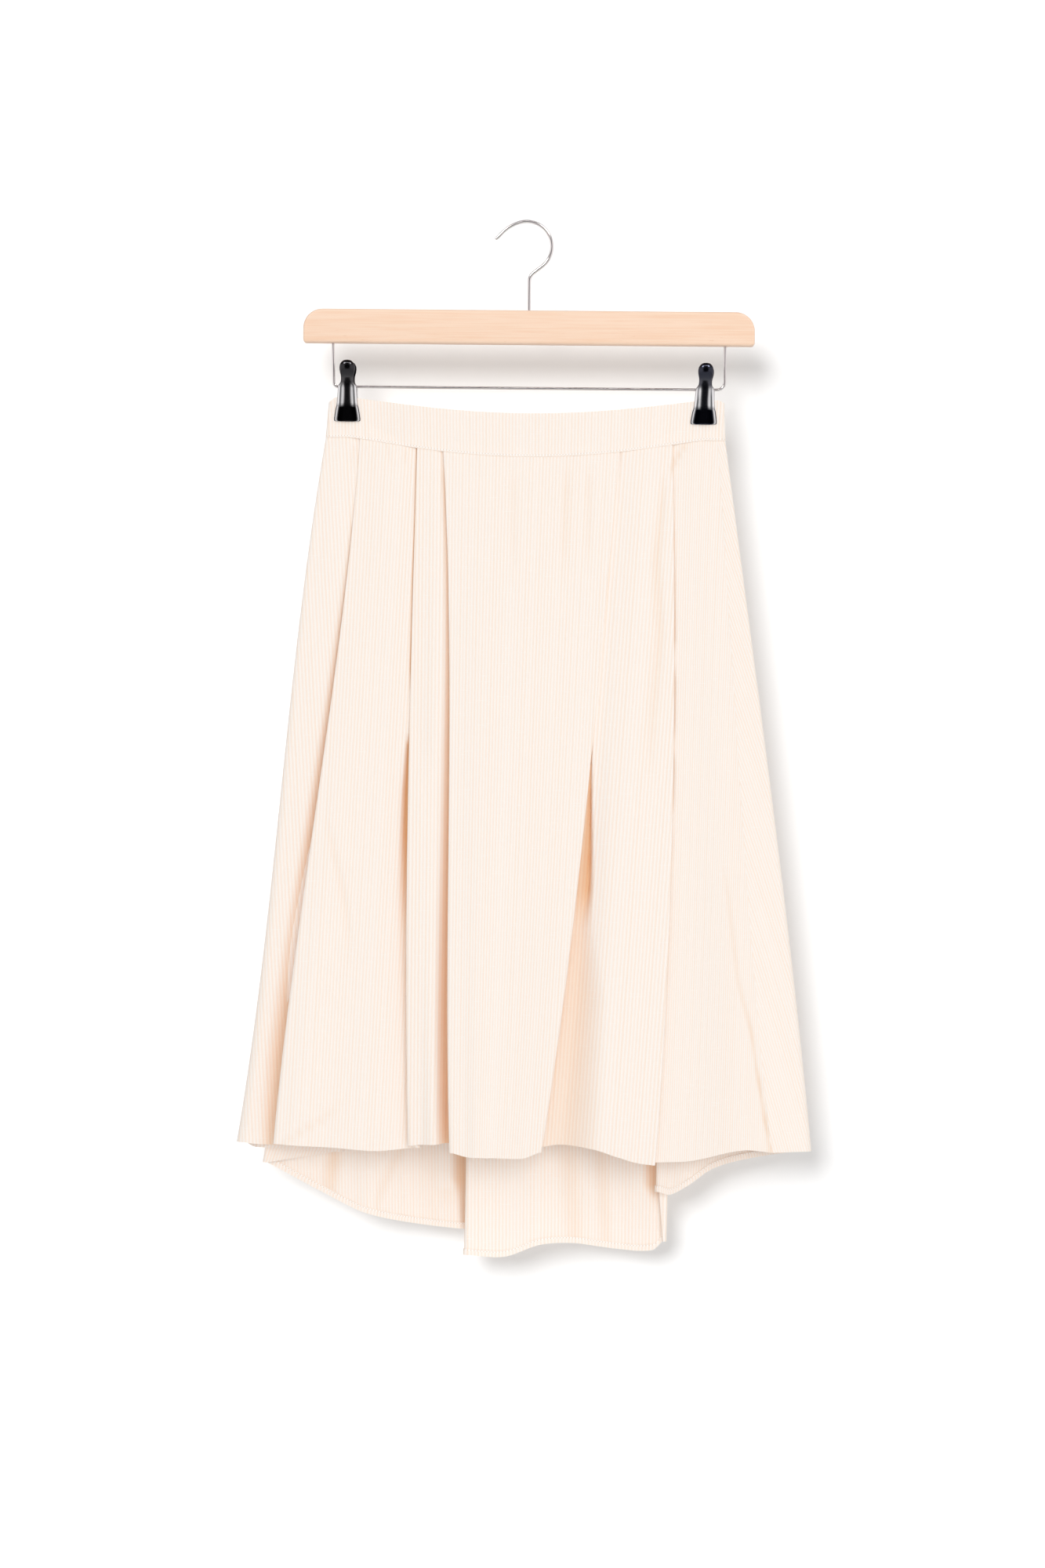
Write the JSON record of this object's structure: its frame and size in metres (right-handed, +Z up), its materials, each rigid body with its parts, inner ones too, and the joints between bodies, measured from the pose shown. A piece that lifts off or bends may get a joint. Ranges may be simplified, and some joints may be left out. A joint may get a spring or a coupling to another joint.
{
  "type": "skirt on a clip hanger",
  "caption": "Pleated A-line skirt with a dipped back hem, clipped by its waistband to a wooden bar hanger with a wire hook.",
  "frame": {"origin": "underside of the wire at the top of the hook, where a rail carries it", "axes": "+X to the right as the front is seen, +Y from the front to the back, +Z up"},
  "size_m": [0.4833, 0.0653, 0.8749],
  "materials": {
    "cotton": "fine vertical cream and peach stripe, plain weave, matt",
    "beech": "pale beech, satin lacquer",
    "chrome": "polished chrome plate"
  },
  "bodies": {
    "root": {"skirt_front": "cotton", "skirt_back": "cotton", "waistband_front": "cotton", "waistband_back": "cotton", "hanger_bar": "beech", "hanger_hook": "chrome", "hanger_rail": "chrome", "clip_left_front": "chrome", "clip_left_back": "chrome", "clip_left_spring": "chrome", "clip_right_front": "chrome", "clip_right_back": "chrome", "clip_right_spring": "chrome"}
  },
  "joints": []
}
